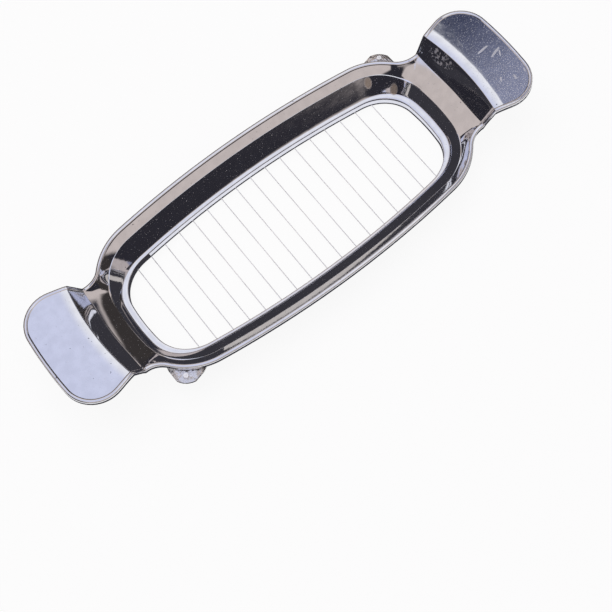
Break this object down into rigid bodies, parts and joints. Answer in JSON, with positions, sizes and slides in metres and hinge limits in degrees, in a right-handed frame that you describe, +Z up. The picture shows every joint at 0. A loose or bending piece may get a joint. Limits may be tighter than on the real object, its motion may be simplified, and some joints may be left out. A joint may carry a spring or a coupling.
{
  "type": "egg slicer",
  "caption": "Hand-held wire slicer: an oblong bowled metal frame with a raised grip at each end and fine parallel wires across its opening.",
  "frame": {"origin": "middle of the opening, at the height of the collar's lower edge", "axes": "+X along the slicer through both handles, +Y across it to the rear, +Z up out of the bowl"},
  "size_m": [0.2108, 0.0726, 0.0239],
  "materials": {
    "frame": "bright plated and polished, with fine handling scratches",
    "lug": "bright steel with a faint mottle",
    "ferrule": "satin",
    "wire": "bright drawn wire"
  },
  "bodies": {
    "root": {"frame": "frame", "anchor_lug_left": "lug", "anchor_lug_right": "lug", "wire_ferrule_left": "ferrule", "wire_ferrule_right": "ferrule", "wire_tail_left": "wire", "wire_tail_right": "wire", "wire_bends_front": "wire", "wire_bends_rear": "wire", "wire_run_01": "wire", "wire_run_02": "wire", "wire_run_03": "wire", "wire_run_04": "wire", "wire_run_05": "wire", "wire_run_06": "wire", "wire_run_07": "wire", "wire_run_08": "wire", "wire_run_09": "wire", "wire_run_10": "wire", "wire_run_11": "wire", "wire_run_12": "wire", "wire_run_13": "wire", "wire_run_14": "wire", "wire_run_15": "wire", "wire_run_16": "wire", "wire_run_17": "wire"}
  },
  "joints": []
}
